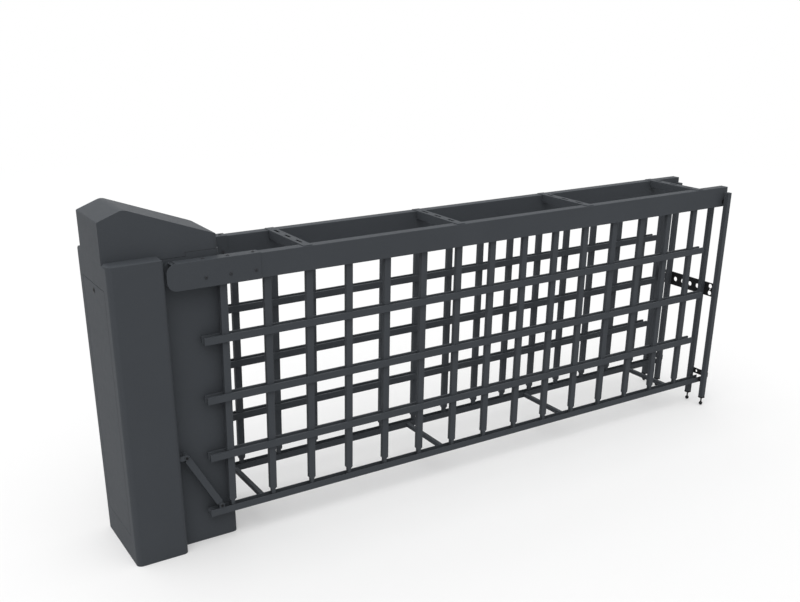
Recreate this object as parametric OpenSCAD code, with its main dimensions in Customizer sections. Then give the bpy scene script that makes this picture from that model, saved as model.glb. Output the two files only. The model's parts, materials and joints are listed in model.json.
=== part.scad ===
// Parking barrier gate: a drive cabinet with twin booms that carry a folding fence of hinged bars.
// Millimetres. X runs along the booms, Z is up, and the origin is the middle of the cabinet's base.

/* [Cabinet] */
// Length of the cabinet along the booms
cab_l = 456; // [430:1:540]
// Width of the slim body between the booms
body_w = 274; // [240:1:320]
// Length of the wide rear part of the column
wing_l = 214; // [180:1:220]
// How far the wide part stands out past the booms
wing_lip = 11; // [4:1:20]
// Height of the column above the tops of the booms
col_over = 27; // [20:1:40]
// Radius of the upright edges
edge_r = 22; // [10:1:30]
// Radius of the edges round the top of the wide part
crown_r = 14; // [8:1:18]
// Thickness of the cabinet's sheet metal
wall = 3; // [2.5:0.5:4]
// Thickness of the base plate
base_t = 10; // [8:1:16]

/* [Hood] */
// Height of the hood's upright rear face
hood_rear_h = 150; // [120:1:180]
// Distance from the rear face to the ridge
ridge_x = 97; // [80:1:130]
// Height of the sharp ridge before it is rounded
ridge_h = 187; // [175:1:220]
// Height of the hood's front face
nose_h = 56; // [30:1:80]
// Distance of the hood's front face behind the body's front face
nose_back = 5; // [4:1:30]
// Radius of the ridge
ridge_r = 45; // [20:1:60]
// Thickness of the hood's sheet metal
hood_wall = 2.5; // [2:0.5:2.5]
// Height of the shadow gap round the hood's lower edge
hood_seam = 1.5; // [1:0.5:3]
// How far the hood's side skirts reach down over the body
skirt_h = 14; // [8:1:20]
// Length of the side skirts in front of the wide part
skirt_l = 103; // [80:1:140]

/* [Door] */
// Width of the door opening
door_w = 288; // [220:1:300]
// Height of the sill under the door opening
door_sill = 115; // [60:1:160]
// Distance from the door opening to the top of the column
door_head = 104; // [80:1:160]
// Gap round the door
door_seam = 1.5; // [1:0.5:3]
// Depth of the door's folded side flanges
door_flange = 18; // [12:1:24]
// Thickness of the door's sheet metal
door_t = 2; // [1.5:0.5:2.5]
// Distance from the door's top edge to the lock
lock_drop = 26; // [20:1:40]
// Diameter of the lock barrel
lock_d = 16; // [14:1:26]

/* [Boom] */
// Height of the boom section
boom_h = 100; // [90:1:120]
// Width of the boom section
boom_w = 45; // [42:1:60]
// Wall thickness of the boom
boom_wall = 3; // [2:0.5:4]
// Length of boom behind the main shaft
boom_tail = 60; // [50:1:70]
// Length of boom past the end posts' axis
boom_over = 25; // [20:1:80]
// Length of boom holder behind the main shaft
holder_tail = 83; // [80:1:85]
// Length of boom holder before the main shaft
holder_nose = 298; // [250:1:400]
// Sheet thickness of the boom holder
holder_t = 3; // [2:0.5:4]
// Corner radius of the holder's tail
holder_r = 38; // [36:1:48]
// Distance from the wide part's front face to the main shaft
shaft_off = 90; // [90:1:110]
// Number of cross braces between the booms
brace_n = 4; // [2:1:6]
// Distance from the main shaft to the first cross brace
brace_first = 506; // [400:1:700]
// Distance from the last cross brace to the free end of the boom
brace_last = 198; // [100:1:400]
// Width of a cross brace
brace_w = 40; // [30:1:60]
// Depth of a cross brace's side flanges
brace_h = 35; // [20:1:50]
// Sheet thickness of a cross brace
brace_t = 3; // [2:0.5:4]

/* [Fence] */
// Number of upright bars on each side
bar_n = 15; // [7:1:20]
// Distance between bars along the boom
bar_pitch = 185; // [175:1:240]
// Distance from the main shaft to the first bar
first_bar = 144; // [120:1:170]
// Width of a bar along the boom
bar_w = 30; // [24:1:30]
// Thickness of a bar across the fence
bar_t = 20; // [15:1:24]
// Wall thickness of a bar
bar_wall = 2; // [1.5:0.5:3]
// Width of a bar's narrow lower end
neck_w = 16; // [13:1:18]
// Height of the narrow lower end above the lowest pin
neck_h = 40; // [35:1:60]
// Distance between the rows of pins along a bar
row_pitch = 249; // [249:1:300]
// Height of the lowest row of pins above the floor
ground_gap = 140; // [120:1:180]
// Height of the bar hinges above the boom's lower edge
hinge_up = 26; // [22:1:26]
// Lean of the bars at rest, in degrees
rest_lean = 1.2; // [0:0.1:1.5]
// Lean of the bars the other way when the booms are upright, in degrees
fold_lean = 10.7; // [10:0.1:14]
// Height of a rail
rail_h = 30; // [24:1:30]
// Thickness of a middle rail's strip
strip_t = 10; // [6:1:12]
// Length of a middle rail past the first bar
rail_tail = 92; // [40:1:100]
// Length of the upper and lower middle rails past the last bar
rail_nose = 88; // [30:1:140]
// Length of the middle one of these rails past the last bar
mid_nose = 120; // [30:1:140]
// Length of the bottom rail before the first bar
low_tail = 102; // [90:1:120]
// Length of the bottom rail past the end posts' axis
low_nose = 17; // [16:1:40]
// Wall thickness of the bottom rail
low_wall = 3; // [2:0.5:3]
// Gap between a bar's lower end and the walls of the bottom rail
low_gap = 4; // [3:0.5:6]
// Depth of the bottom rail's floor below its pins
low_floor = 12; // [10:1:13]
// Distance of a bottom tie before its bar
tie_off = 40; // [35:1:60]
// Diameter of the fence's pins
pin_d = 10; // [8:0.5:12]

/* [End posts] */
// Width of a square end post
post_w = 25; // [20:1:30]
// Wall thickness of an end post
post_wall = 2; // [1.5:0.5:3]
// Distance from the boom's middle plane to a post's axis
post_off = 50; // [46:1:60]
// Height of a post's lower end above the floor
post_low = 50; // [35:1:70]
// Height of the hinge pin's axis below a post's upper end
post_up = 50; // [30:1:60]
// Height of the cap on a post's lower end
cap_h = 8; // [5:1:12]
// How far the cap stands out past the post
cap_lip = 0.5; // [0.5:0.5:2]
// Diameter of a ball foot
ball_d = 20; // [12:1:24]
// Diameter of a foot's rod
rod_d = 8; // [5:1:10]
// Distance from the post hinges down to the middle of the perforated plate
plate_drop = 484; // [440:1:520]
// Height of the perforated plate
plate_h = 74; // [60:1:100]
// Height of a short low plate
low_plate_h = 30; // [26:1:40]
// Thickness of the post plates
plate_t = 5; // [4:1:8]

/* [Drive] */
// Diameter of the main shaft
shaft_d = 40; // [35:1:45]
// Length of the lever arm and of the crank
crank_r = 70; // [64:1:75]
// Distance from the main shaft to the spring pin
spring_r = 90; // [80:1:95]
// Length of the connecting rod between its eyes
rod_l = 400; // [350:1:450]
// Distance from the spring pin to the lower spring anchor at rest
spring_l = 664; // [600:1:720]
// Outer diameter of a balance spring
spring_d = 42; // [36:1:44]
// Diameter of the pins in the lever and crank
link_pin = 16; // [12:1:18]
// Diameter of the gearbox's output shaft
out_d = 30; // [25:1:35]
// Diameter of the drive motor
motor_d = 96; // [80:1:110]
// Length of the drive motor
motor_h = 172; // [140:1:180]
// Thickness of the drive stand's side plates
stand_t = 8; // [6:1:10]
// Gap between the stand's side plates and the body's walls
stand_gap = 20; // [16:1:30]

/* [Drag link] */
// Distance from the wide part's front face to the upper pivot
drag_out = 28; // [20:1:30]
// Distance from the main shaft to the lower pivot at rest, along the boom
drag_x = 71; // [60:1:80]
// Height of the lower pivot above the lowest row of pins
drag_up = 27; // [25:1:35]
// Width of the link in the plane of the fence
drag_w = 28; // [22:1:30]
// Thickness of the link across the fence
drag_t = 24; // [20:1:26]
// Diameter of the link's pivots
drag_pin = 12; // [10:1:14]
// Thickness of the ears that hold the link
ear_t = 4; // [3:0.5:6]

/* [Clearances] */
// Gap between the body's side and the shaft flange
run_gap = 2; // [1.5:0.5:4]
// Thickness of a shaft flange
flange_t = 4; // [4:1:8]
// Gap between a bar and the strips beside it
side_gap = 0.7; // [0.5:0.1:1.5]
// Play of a pin in its bore, on the radius
pin_play = 0.3; // [0.2:0.05:0.5]
// Play of a shaft in its bearing, on the radius
shaft_play = 0.05; // [0.02:0.01:0.1]
// Gap between pieces that sit beside each other
seat_gap = 0.3; // [0.2:0.1:0.5]

/* [Anchors] */
// Anchor hole spacing along the booms
anchor_x = 340; // [300:1:360]
// Anchor hole spacing across the booms
anchor_y = 150; // [130:1:160]
// Diameter of the anchor holes
anchor_d = 18; // [14:1:22]
// Diameter of the cable entry
cable_d = 80; // [50:1:100]

/* [Hidden] */
$fn = 64;
function bar_name(i) = str("bar_", i < 9 ? "0" : "", i + 1);

paint = [0.23, 0.24, 0.26];
dark_steel = [0.16, 0.16, 0.17];
bright_steel = [0.68, 0.69, 0.7];
black_rubber = [0.07, 0.07, 0.07];
pale_plastic = [0.75, 0.76, 0.74];

// How far a cut runs past the face it opens
over = 1;
// Corner radius of a rounded end, as a share of its width
end_round = 0.46;
// Wall left at the end of a blind pin seat
blind = 1.5;

// Heights, from the floor up through the fence to the cabinet
bar_l = 4 * row_pitch;
hinge_z = ground_gap + bar_l * cos(rest_lean);
boom_z = hinge_z - hinge_up;
boom_top = boom_z + boom_h;
pivot_z = boom_z + boom_h / 2;
col_h = boom_top + col_over;

// Lengths along the booms
rear_x = -cab_l / 2;
front_x = cab_l / 2;
wing_x = rear_x + wing_l;
nose_x = front_x - nose_back;
pivot_x = wing_x + shaft_off;
pivot = [pivot_x, pivot_z];
function bar_x(i) = pivot_x + first_bar + i * bar_pitch;
post_x = bar_x(bar_n);
boom_x0 = pivot_x - boom_tail;
boom_x1 = post_x + boom_over;
holder_x0 = pivot_x - holder_tail;
holder_x1 = pivot_x + holder_nose;

// Place of the pin of bar i in row k, where row 0 is in the boom and row 4 in the bottom rail
function row_pt(i, k) = [bar_x(i), hinge_z] - k * row_pitch * [sin(rest_lean), cos(rest_lean)];
low_z = row_pt(0, 4).y;
low_z0 = low_z - low_floor - low_wall;
low_top = low_z0 + rail_h;

// Widths across the booms, as distances from a panel's own middle plane or from the cabinet's
boom_in = body_w / 2 + run_gap + flange_t + holder_t;
boom_y = boom_in + boom_w / 2;
boom_out = boom_in + boom_w;
wing_w = 2 * (boom_out + wing_lip);
strip_in = bar_t / 2 + side_gap;
strip_out = strip_in + strip_t;
low_in = bar_t / 2 + low_gap;
low_out = low_in + low_wall;
post_in = post_off - post_w / 2;
post_out = post_off + post_w / 2;
post_tip = post_out - post_wall;

// Drag link: its upper pivot is as far from the lower pivot's rest place as from its folded place
drag_r0 = [pivot_x + drag_x, low_z + drag_up];
drag_arm = drag_r0 - pivot + bar_l * [sin(rest_lean), cos(rest_lean)];
drag_r90 = pivot + [-drag_arm.y, drag_arm.x] + bar_l * [sin(fold_lean), -cos(fold_lean)];
drag_mid = (drag_r0 + drag_r90) / 2;
drag_step = drag_r90 - drag_r0;
drag_qx = wing_x + drag_out;
drag_q = [drag_qx, drag_mid.y - (drag_qx - drag_mid.x) * drag_step.x / drag_step.y];

// Points of an arc that rounds the corner b between a and c
function fillet(a, b, c, r, n = 10) =
    let (u = (a - b) / norm(a - b),
        v = (c - b) / norm(c - b),
        turn = acos(u * v),
        m = b + (u + v) / norm(u + v) * r / sin(turn / 2),
        s = b + u * r / tan(turn / 2) - m,
        e = b + v * r / tan(turn / 2) - m,
        a0 = atan2(s.y, s.x),
        sweep = (atan2(e.y, e.x) - a0 + 540) % 360 - 180)
    [for (i = [0:n]) m + r * [cos(a0 + sweep * i / n), sin(a0 + sweep * i / n)]];

// The piece of a square corner that lies outside its rounding
module corner_cut(x, y, sx, sy, r) {
    if (r > 0)
        difference() {
            translate([sx > 0 ? x - over : x - r, sy > 0 ? y - over : y - r]) square(r + over);
            translate([x + sx * r, y + sy * r]) circle(r);
        }
}

// Rectangle with its own radius at each corner, counted round from the low corner
module round_quad(x0, y0, x1, y1, r) {
    difference() {
        translate([x0, y0]) square([x1 - x0, y1 - y0]);
        corner_cut(x0, y0, 1, 1, r[0]);
        corner_cut(x1, y0, -1, 1, r[1]);
        corner_cut(x1, y1, -1, -1, r[2]);
        corner_cut(x0, y1, 1, -1, r[3]);
    }
}

// Extrude an outline drawn in X and Z between two Y places
module along_y(y0, y1) {
    translate([0, y1, 0]) rotate([90, 0, 0]) linear_extrude(y1 - y0) children();
}

// Extrude an outline drawn in Y and Z between two X places
module along_x(x0, x1) {
    translate([x0, 0, 0]) rotate([90, 0, 90]) linear_extrude(x1 - x0) children();
}

// Round pin or bore along Y, through a point of the XZ plane
module pin_y(p, y0, y1, d) {
    translate([p.x, y1, p.y]) rotate([90, 0, 0]) cylinder(h = y1 - y0, d = d);
}

// Box between two corners
module block(low, high) {
    translate(low) cube(high - low);
}

// Both sides of the gate
module both() {
    children();
    mirror([0, 1, 0]) children();
}

// One panel's pieces, drawn about the panel's middle plane, at the front
module panel() {
    translate([0, -boom_y, 0]) children();
}

// Both faces of a panel
module faces() {
    children();
    mirror([0, 1, 0]) children();
}

// What hangs from the boom at station i, drawn upright with its hinge at the origin
module hang(i) {
    translate([bar_x(i), 0, hinge_z]) rotate([0, rest_lean, 0]) children();
}

// Straight bar with round ends between two points of the XZ plane
module link_outline(a, b, w) {
    r = end_round * w;
    translate(a) rotate(atan2(b.y - a.y, b.x - a.x))
        round_quad(-w / 2, -w / 2, norm(b - a) + w / 2, w / 2, [r, r, r, r]);
}

// Plan of the cabinet, drawn in by an inset
module wing_plan(inset) {
    r = max(edge_r - inset, 1);
    round_quad(rear_x + inset, -wing_w / 2 + inset, wing_x - inset, wing_w / 2 - inset, [r, r, r, r]);
}

module body_plan(inset, end_x = front_x) {
    r = max(edge_r - inset, 1);
    round_quad(rear_x + inset, -body_w / 2 + inset, end_x - inset, body_w / 2 - inset, [0, r, r, 0]);
}

// Column of the cabinet, drawn in by an inset; its foot goes below the floor when it is a cavity
module column(inset) {
    foot = inset > 0 ? -over : 0;
    top = col_h - inset;
    r = max(crown_r - inset, 1);
    intersection() {
        translate([0, 0, foot]) linear_extrude(top - foot) wing_plan(inset);
        along_x(rear_x - over, wing_x + over)
            round_quad(-wing_w / 2 + inset, foot, wing_w / 2 - inset, top, [0, 0, r, r]);
        along_y(-wing_w, wing_w)
            round_quad(rear_x + inset, foot, wing_x - inset, top, [0, 0, r, r]);
    }
    translate([0, 0, foot]) linear_extrude(top - foot) body_plan(inset);
}

module base_plate() {
    color(dark_steel) difference() {
        linear_extrude(base_t) {
            wing_plan(wall + seat_gap);
            body_plan(wall + seat_gap);
        }
        for (sx = [-1, 1], sy = [-1, 1])
            translate([sx * anchor_x / 2, sy * anchor_y / 2, -over])
                cylinder(h = base_t + 2 * over, d = anchor_d);
        translate([0, 0, -over]) cylinder(h = base_t + 2 * over, d = cable_d);
    }
}

// Sheet-metal column with the door opening, the shaft's holes and notches for the hood's skirts
door_top = col_h - door_head;
shaft_hole = shaft_d + 20;

module cabinet_shell() {
    top_lip = 25;
    color(paint) difference() {
        column(0);
        column(wall);
        translate([0, 0, col_h - wall - over]) linear_extrude(wall + 2 * over) body_plan(top_lip);
        block([rear_x - over, -door_w / 2, door_sill], [rear_x + wall + over, door_w / 2, door_top]);
        pin_y(pivot, -body_w, body_w, shaft_hole);
        both() block([wing_x, body_w / 2 - wall, col_h - skirt_h - hood_seam],
            [wing_x + skirt_l + hood_seam, body_w / 2 + over, col_h + over]);
    }
}

// Side outline of the hood, drawn in by an inset
module hood_outline(inset) {
    brow_r = 8;
    heel_r = 6;
    inner_r = 2;
    foot = [rear_x + inset, col_h - (inset > 0 ? over : 0)];
    toe = [nose_x - inset, foot.y];
    brow = [toe.x, col_h + nose_h - inset];
    ridge = [rear_x + ridge_x, col_h + ridge_h - inset];
    heel = [foot.x, col_h + hood_rear_h - inset];
    polygon(concat([foot, toe],
        fillet(toe, brow, ridge, max(brow_r - inset, inner_r)),
        fillet(brow, ridge, heel, ridge_r - inset),
        fillet(ridge, heel, foot, max(heel_r - inset, inner_r))));
}

module hood_solid(inset) {
    foot = inset > 0 ? -over : 0;
    intersection() {
        along_y(-body_w / 2 + inset, body_w / 2 - inset) hood_outline(inset);
        translate([0, 0, col_h + foot]) linear_extrude(2 * ridge_h) body_plan(inset, nose_x);
    }
}

// Sloped hood with a skirt on each side and a shadow gap round the front of its lower edge
module top_hood() {
    groove = hood_wall / 2;
    color(paint) {
        difference() {
            hood_solid(0);
            hood_solid(hood_wall);
            translate([0, 0, col_h - over]) linear_extrude(hood_seam + over) difference() {
                translate([wing_x + skirt_l, -body_w]) square([cab_l, 2 * body_w]);
                body_plan(groove, nose_x);
            }
        }
        both() block([wing_x + seat_gap, body_w / 2 - hood_wall, col_h - skirt_h],
            [wing_x + skirt_l, body_w / 2, col_h]);
    }
}

// Drive: lever and crank stay parallel, joined by the connecting rod
lever_dir = -45;
lever_w = 40;
lever_in = 15;
lever_out = 25;
rod_half = 12;
crank_out = -14;
stand_y = body_w / 2 - wall - stand_gap - stand_t;
stand_x0 = pivot_x - 150;
stand_x1 = pivot_x + 130;
gear_rise = 92;
crank_hub = [pivot_x, pivot_z - rod_l];
shelf_t = 10;
shelf_z = crank_hub.y - gear_rise;
function on_lever(r) = pivot + r * [cos(lever_dir), sin(lever_dir)];
crank_tip = crank_hub + crank_r * [cos(lever_dir), sin(lever_dir)];
spring_pin = on_lever(-spring_r);
spring_low = spring_pin - [0, spring_l];
spring_y = 46;
spring_tip = spring_y + 14;
anchor_rod_d = 20;

// Square bar under the shaft that carries the stops, set so that the lever meets them at both ends
stop_side = 29;
buffer_l = 20;
stop_z = pivot_z - sqrt(2) * (stop_side / 2 + buffer_l) - 29;

// Gearbox and motor places on the shelf
gear_y0 = -stand_y + 8;
gear_y1 = -28;
motor_lip = 3;
motor_x = pivot_x + 60;
motor_y = -stand_y + motor_d / 2 + motor_lip + 7;

// Welded frame on the base plate: two side plates, a shelf for the gearbox and the stop bar
module drive_stand() {
    side_top = pivot_z + 55;
    top_r = 30;
    shelf_x0 = pivot_x - 42;
    shelf_x1 = stand_x1 - 10;
    foot_out = body_w / 2 - wall - 2;
    coupling_hole = 50;
    color(dark_steel) difference() {
        union() {
            both() along_y(stand_y, stand_y + stand_t)
                round_quad(stand_x0, base_t, stand_x1, side_top, [0, 0, top_r, top_r]);
            both() block([stand_x0, stand_y, base_t], [stand_x1, foot_out, base_t + stand_t]);
            block([shelf_x0, -stand_y, shelf_z - shelf_t], [shelf_x1, stand_y, shelf_z]);
            translate([pivot_x, stand_y, stop_z]) rotate([90, 45, 0])
                linear_extrude(2 * stand_y) square(stop_side, center = true);
        }
        pin_y(pivot, -body_w, body_w, shaft_hole);
        translate([motor_x, motor_y, shelf_z - shelf_t - over])
            cylinder(h = shelf_t + 2 * over, d = coupling_hole);
    }
}

// Flanged bearings on the inner sides of the stand
module shaft_bearings() {
    half = 48;
    corner = 14;
    flange = 12;
    length = 28;
    barrel_d = 76;
    color(bright_steel) both() difference() {
        union() {
            along_y(stand_y - flange, stand_y)
                round_quad(pivot_x - half, pivot_z - half, pivot_x + half, pivot_z + half,
                    [corner, corner, corner, corner]);
            pin_y(pivot, stand_y - length, stand_y - flange, barrel_d);
        }
        pin_y(pivot, 0, body_w, shaft_d + 2 * shaft_play);
    }
}

// Reduction gearbox on the shelf: ribbed case, mounting foot and output boss
module gearbox() {
    x0 = pivot_x - 36;
    x1 = pivot_x + 112;
    top = crank_hub.y + gear_rise;
    foot_h = 14;
    boss_d = 68;
    rib_n = 5;
    rib_t = 4;
    rib_step = 13;
    rib_x = x0 + 82;
    color(bright_steel) difference() {
        union() {
            along_y(gear_y0 + 8, gear_y1 - 6)
                round_quad(x0, shelf_z, x1, top, [10, 10, 40, 34]);
            block([x0 + 2, gear_y0, shelf_z], [x1 + 6, gear_y1 - 2, shelf_z + foot_h]);
            pin_y(crank_hub, gear_y0, gear_y1, boss_d);
            for (i = [0:rib_n - 1])
                along_y(gear_y0 + 2, gear_y1 - 4)
                    round_quad(rib_x + i * rib_step, crank_hub.y - 20, rib_x + i * rib_step + rib_t, top - 22,
                        [0, 0, 0, 0]);
        }
        pin_y(crank_hub, gear_y0 - over, gear_y1 + over, out_d + 2 * shaft_play);
    }
}

// Drive motor under the shelf, with cooling rings round its frame
module drive_motor() {
    flange = 10;
    ring_n = 9;
    ring_t = 4;
    ring_step = 12;
    ring_first = 30;
    fan_cover = 26;
    coupling_d = 24;
    color(dark_steel) translate([motor_x, motor_y, shelf_z - shelf_t]) {
        translate([0, 0, -flange]) cylinder(h = flange, d = motor_d + 2 * motor_lip);
        translate([0, 0, -motor_h]) cylinder(h = motor_h - flange, d = motor_d - 10);
        for (i = [0:ring_n - 1])
            translate([0, 0, -ring_first - i * ring_step]) cylinder(h = ring_t, d = motor_d);
        translate([0, 0, -motor_h]) cylinder(h = fan_cover, d = motor_d);
        cylinder(h = shelf_t, d = coupling_d);
    }
}

// Control enclosure on a plate across the drive stand's rear edges, with a lid and cable glands
module controller_box() {
    x1 = stand_x0;
    x0 = x1 - 88;
    z0 = crank_hub.y + 60;
    z1 = z0 + 270;
    half = stand_y + stand_t;
    plate = 8;
    lid = 13;
    lid_gap = 1;
    rim = 12;
    gland_step = 40;
    color(pale_plastic) {
        block([x1 - plate, -half, z0 - 30], [x1, half, z1 + 10]);
        translate([0, 0, z0]) linear_extrude(z1 - z0)
            round_quad(x0 + lid + lid_gap, -half + rim, x1 - plate, half - rim, [8, 0, 0, 8]);
        translate([0, 0, z0 + 3]) linear_extrude(z1 - z0 - 6)
            round_quad(x0, -half + rim + 3, x0 + lid, half - rim - 3, [8, 4, 4, 8]);
        translate([0, 0, z0 + 6]) linear_extrude(z1 - z0 - 12)
            round_quad(x0 + lid - 1, -half + rim + 6, x0 + lid + 2, half - rim - 6, [0, 0, 0, 0]);
        for (i = [-1.5:1.5])
            translate([x0 + 46, i * gland_step, z0 - 16]) cylinder(h = 16 + over, d = 18);
    }
}

// Rubber stops on the stop bar, one pair for each end of the lever's swing
module stop_buffers() {
    color(black_rubber)
        for (side = [-1, 1], y = [-1, 1])
            translate([pivot_x, y * (lever_in + lever_out) / 2, stop_z]) rotate([0, side * 45, 0])
                translate([0, 0, stop_side / 2]) cylinder(h = buffer_l, d = 20);
}

// Rod across the stand that holds the lower spring eyes, with a collar outside each
module spring_anchor() {
    collar_d = 34;
    color(dark_steel) {
        pin_y(spring_low, -stand_y, stand_y, anchor_rod_d);
        both() pin_y(spring_low, spring_y + 9, spring_tip, collar_d);
    }
}

// Balance springs between the lever's pin and the anchor: eyes, end cones and a close row of coils
module balance_springs() {
    coil_n = 40;
    eye_d = 46;
    eye_half = 7;
    eye_r = 20;
    neck_r = 7;
    cone = 24;
    z0 = spring_low.y + eye_r + cone;
    z1 = spring_pin.y - eye_r - cone;
    pitch = (z1 - z0) / coil_n;
    bump = 3;
    out_r = spring_d / 2;
    in_r = out_r - 8;
    color(dark_steel) both() difference() {
        union() {
            translate([spring_pin.x, spring_y, 0]) rotate_extrude()
                polygon(concat([[0, z0 - cone], [neck_r, z0 - cone], [out_r - bump, z0]],
                    [for (i = [0:coil_n - 1], k = [0, 1])
                        [out_r - (k == 0 ? 0 : bump), z0 + (i + (k + 1) / 2) * pitch]],
                    [[neck_r, z1 + cone], [0, z1 + cone], [0, z1], [in_r, z1 - 8], [in_r, z0 + 8], [0, z0]]));
            for (p = [spring_pin, spring_low])
                pin_y(p, spring_y - eye_half, spring_y + eye_half, eye_d);
        }
        pin_y(spring_pin, spring_y - 2 * eye_half, spring_y + 2 * eye_half, link_pin + 1);
        pin_y(spring_low, spring_y - 2 * eye_half, spring_y + 2 * eye_half, anchor_rod_d + 1);
    }
}

// Clevis on the cabinet for the upper end of a drag link, with its pin
ear_w = drag_w - 6;
ear_gap = 0.6;
ear_in = drag_t / 2 + ear_gap;
ear_out = ear_in + ear_t;
head_d = drag_pin + 6;
head_h = 3;

module link_brackets() {
    half = ear_w / 2;
    corner = end_round * ear_w;
    color(paint) both() panel() {
        faces() along_y(ear_in, ear_out)
            round_quad(wing_x, drag_q.y - half, drag_q.x + half, drag_q.y + half, [0, corner, corner, 0]);
        pin_y(drag_q, -ear_out, ear_out, drag_pin);
        faces() pin_y(drag_q, ear_out, ear_out + head_h, head_d);
    }
}

// Door panel with folded sides, inner returns and two hooks behind the sill
door_z0 = door_sill + door_seam;
door_z1 = door_top - door_seam;
lock_at = [rear_x, 0, door_z1 - lock_drop];

module access_door() {
    half = door_w / 2 - door_seam;
    behind = rear_x + wall + seat_gap;
    return_w = 22;
    hook_w = 40;
    hook_y = half - 60;
    hook_drop = 14;
    hook_rise = 20;
    color(paint) difference() {
        union() {
            block([rear_x, -half, door_z0], [rear_x + door_t, half, door_z1]);
            both() {
                block([rear_x + door_t, half - door_t, door_z0], [rear_x + door_flange, half, door_z1]);
                block([rear_x + door_t, half - return_w, door_z0], [behind + door_t, half - door_t, door_z1]);
                block([behind, hook_y - hook_w / 2, door_sill - hook_drop],
                    [behind + door_t, hook_y + hook_w / 2, door_z0 + hook_rise]);
                block([rear_x + door_t, hook_y - hook_w / 2, door_z0],
                    [behind + door_t, hook_y + hook_w / 2, door_z0 + hook_rise]);
            }
        }
        translate(lock_at - [over, 0, 0]) rotate([0, 90, 0])
            cylinder(h = door_flange, d = lock_d + 2 * pin_play);
    }
}

// Cam lock: round face with a key slot, barrel and tongue
module door_lock() {
    face_t = 2;
    face_lip = 2;
    face_gap = 0.2;
    tongue_t = 3;
    tongue_l = 42;
    tongue_w = 18;
    tongue_x = wall + 2;
    slot_l = 9;
    slot_w = 2;
    color(bright_steel) translate(lock_at) difference() {
        union() {
            translate([-face_t, 0, 0]) rotate([0, 90, 0])
                cylinder(h = face_t - face_gap, d = lock_d + 2 * face_lip);
            translate([-face_t / 2, 0, 0]) rotate([0, 90, 0])
                cylinder(h = tongue_x + tongue_t + 1 + face_t / 2, d = lock_d);
            along_x(tongue_x, tongue_x + tongue_t) link_outline([0, 0], [tongue_l, 0], tongue_w);
        }
        block([-face_t - over, -slot_l / 2, -slot_w / 2], [1, slot_l / 2, slot_w / 2]);
    }
}

module main_shaft() {
    half = body_w / 2 + run_gap;
    color(bright_steel) pin_y(pivot, -half, half, shaft_d);
}

module shaft_flanges() {
    y0 = body_w / 2 + run_gap;
    flange_d = 96;
    color(dark_steel) both() pin_y(pivot, y0, y0 + flange_t, flange_d);
}

// Double lever on the main shaft: the rod's pin on one side, the spring pin on the other
module drive_lever() {
    cheek_d = 76;
    hub_d = 64;
    color(dark_steel) difference() {
        union() {
            both() along_y(lever_in, lever_out) {
                link_outline(spring_pin, on_lever(crank_r), lever_w);
                translate(pivot) circle(d = cheek_d);
            }
            pin_y(pivot, -lever_in, lever_in, hub_d);
        }
        pin_y(pivot, -lever_out - over, lever_out + over, shaft_d);
        for (p = [spring_pin, on_lever(crank_r)])
            pin_y(p, -lever_out - over, lever_out + over, link_pin);
    }
}

module lever_pins() {
    color(bright_steel) {
        pin_y(on_lever(crank_r), -lever_out, lever_out, link_pin);
        pin_y(spring_pin, -spring_tip, spring_tip, link_pin);
    }
}

// Crank on the gearbox's output shaft
module drive_crank() {
    hub_d = 56;
    shaft_y0 = gear_y0 + 4;
    color(dark_steel) {
        pin_y(crank_hub, shaft_y0, crank_out, out_d);
        along_y(gear_y1 + over, crank_out) {
            link_outline(crank_hub, crank_tip, lever_w);
            translate(crank_hub) circle(d = hub_d);
        }
        pin_y(crank_tip, crank_out - 2, rod_half + 1, link_pin);
    }
}

module connecting_rod() {
    shank_w = 22;
    shank_half = 8;
    eye_d = 36;
    color(bright_steel) difference() {
        union() {
            along_y(-shank_half, shank_half) link_outline(crank_tip, on_lever(crank_r), shank_w);
            for (p = [crank_tip, on_lever(crank_r)])
                pin_y(p, -rod_half, rod_half, eye_d);
        }
        for (p = [crank_tip, on_lever(crank_r)])
            pin_y(p, -rod_half - over, rod_half + over, link_pin + 2 * pin_play);
    }
}

// Sleeve over the rear end of a boom: two plates with a round tail, joined over the top
module boom_holder() {
    half = boom_w / 2;
    z0 = boom_z - holder_t;
    z1 = boom_top + holder_t;
    color(paint) panel() {
        faces() along_y(half, half + holder_t)
            round_quad(holder_x0, z0, holder_x1, z1, [holder_r, 0, 0, holder_r]);
        block([holder_x0 + holder_r, -half, boom_top], [holder_x1, half, z1]);
    }
}

module boom_holder_front() {
    boom_holder();
}

module boom_holder_rear() {
    mirror([0, 1, 0]) boom_holder();
}

// Boom: a channel open below, with blind seats for the bar hinges and bores for the posts' pin
module boom() {
    half = boom_w / 2;
    color(paint) panel() difference() {
        block([boom_x0, -half, boom_z], [boom_x1, half, boom_top]);
        block([boom_x0 - over, -half + boom_wall, boom_z - over],
            [boom_x1 + over, half - boom_wall, boom_top - boom_wall]);
        for (i = [0:bar_n - 1])
            pin_y(row_pt(i, 0), -half + blind, half - blind, pin_d);
        pin_y(row_pt(bar_n, 0), -boom_w, boom_w, pin_d);
    }
}

module boom_front() {
    boom();
}

module boom_rear() {
    mirror([0, 1, 0]) boom();
}

// Bolt heads on the outer side and top of each holder, and nuts on its inner side
module holder_bolts() {
    bolt_d = 13;
    bolt_h = 3.5;
    bolt_up = 35;
    bolt_x = [70, 170, holder_nose - 23];
    side = boom_w / 2 + holder_t;
    color(dark_steel) both() panel()
        for (x = bolt_x) {
            faces() pin_y([pivot_x + x, boom_z + bolt_up], side, side + bolt_h, bolt_d);
            translate([pivot_x + x, 0, boom_top + holder_t]) cylinder(h = bolt_h, d = bolt_d);
        }
}

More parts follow.
